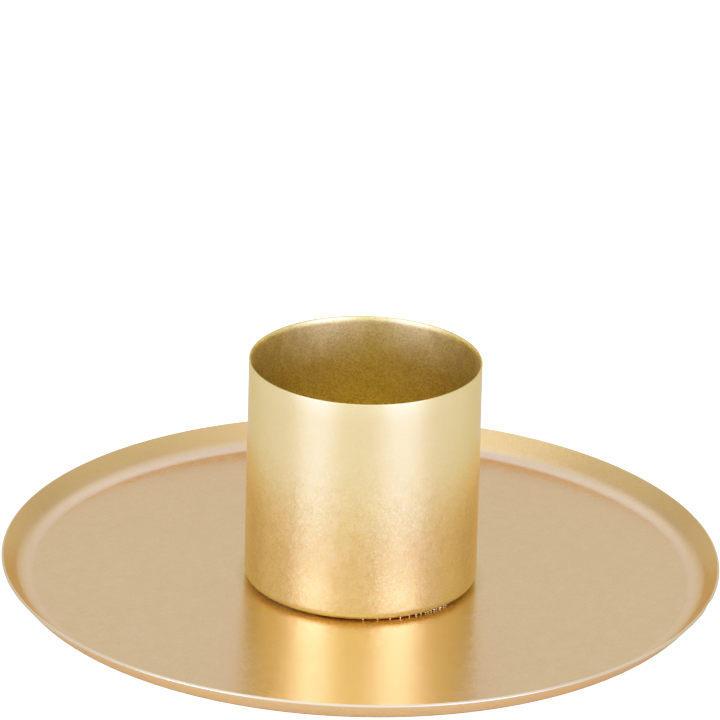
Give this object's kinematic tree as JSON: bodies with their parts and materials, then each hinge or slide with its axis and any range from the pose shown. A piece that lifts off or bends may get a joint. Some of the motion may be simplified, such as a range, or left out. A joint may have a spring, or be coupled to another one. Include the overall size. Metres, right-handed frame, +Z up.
{
  "type": "pillar candle holder",
  "caption": "Round shallow metal plate with an upturned rim and a straight riveted cup at its centre that holds a slim pillar candle.",
  "frame": {"origin": "on the table, under the axis of the cup and plate, at the lowest face of the pads", "axes": "+Z up along the axis of the cup and plate; +X to the right and +Y to the back as seen from the front"},
  "size_m": [0.13, 0.13, 0.044],
  "materials": {
    "plate_gold": "satin champagne-gold lacquer on pressed steel sheet",
    "cup_gold": "semi-gloss gold lacquer on deep-drawn steel sheet",
    "rivet_metal": "satin gold lacquer on a steel rivet",
    "pad_rubber": "matt dark rubber"
  },
  "bodies": {
    "root": {"plate": "plate_gold", "cup": "cup_gold", "rivet": "rivet_metal", "pad_1": "pad_rubber", "pad_2": "pad_rubber", "pad_3": "pad_rubber"}
  },
  "joints": []
}
